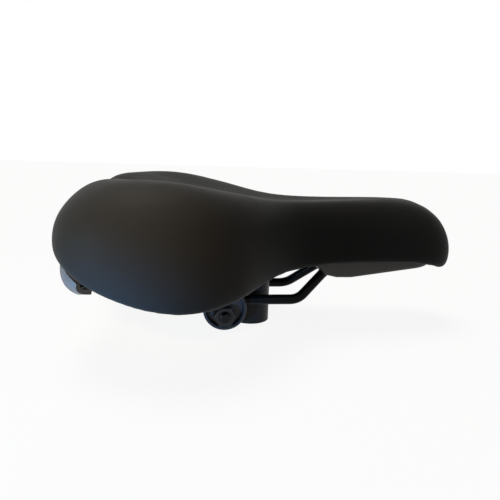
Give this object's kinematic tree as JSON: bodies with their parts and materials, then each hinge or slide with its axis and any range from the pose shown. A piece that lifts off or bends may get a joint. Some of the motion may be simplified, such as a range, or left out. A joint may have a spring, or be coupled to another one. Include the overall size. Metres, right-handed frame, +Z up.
{
  "type": "bicycle saddle",
  "caption": "Padded bicycle saddle with a wide two-lobed rear and a narrow nose, on round steel rails held by a side-bolted clamp for a plain seat post.",
  "frame": {"origin": "centre of the seat-post bore at the lower mouth of the clamp strap", "axes": "+X towards the nose, +Y to the rider's left, +Z up along the seat post"},
  "size_m": [0.2733, 0.2092, 0.1041],
  "materials": {
    "clamp_strap": "satin black paint over pressed steel",
    "inner_cup_right": "satin black paint",
    "inner_cup_left": "satin black paint",
    "outer_cup_right": "satin black paint, rim worn bright",
    "outer_cup_left": "satin black paint, rim worn bright",
    "clamp_bolt": "dark plated steel",
    "washer_right": "dark plated steel",
    "washer_left": "dark plated steel",
    "nut_right": "dark plated steel",
    "nut_left": "dark plated steel",
    "rail_right": "gloss black enamel over steel",
    "rail_left": "gloss black enamel over steel",
    "cover": "smooth black vinyl, satin",
    "foam_pad": "open moulded foam",
    "bridge_screws": "black plated steel",
    "bumper_screws": "black plated steel",
    "base_shell": "moulded black plastic",
    "nose_bridge": "moulded charcoal plastic",
    "rear_bumper": "moulded dark grey plastic",
    "cover_staples": "bare steel wire"
  },
  "bodies": {
    "strap": {"clamp_strap": "clamp_strap"},
    "cups": {"inner_cup_right": "inner_cup_right", "inner_cup_left": "inner_cup_left", "outer_cup_right": "outer_cup_right", "outer_cup_left": "outer_cup_left", "clamp_bolt": "clamp_bolt", "washer_right": "washer_right", "washer_left": "washer_left", "nut_right": "nut_right", "nut_left": "nut_left"},
    "saddle": {"rail_right": "rail_right", "rail_left": "rail_left", "cover": "cover", "foam_pad": "foam_pad", "bridge_screws": "bridge_screws", "bumper_screws": "bumper_screws", "base_shell": "base_shell", "nose_bridge": "nose_bridge", "rear_bumper": "rear_bumper", "cover_staples": "cover_staples"}
  },
  "joints": [
    {"name": "tilt", "type": "hinge", "parent": "strap", "child": "cups", "pos_m": [-0.021, 0, 0.0125], "axis": [0, 1, 0], "range_deg": [-10, 20]},
    {"name": "fore_aft", "type": "slide", "parent": "cups", "child": "saddle", "axis": [1, 0, 0], "range_m": [-0.025, 0.015]}
  ]
}
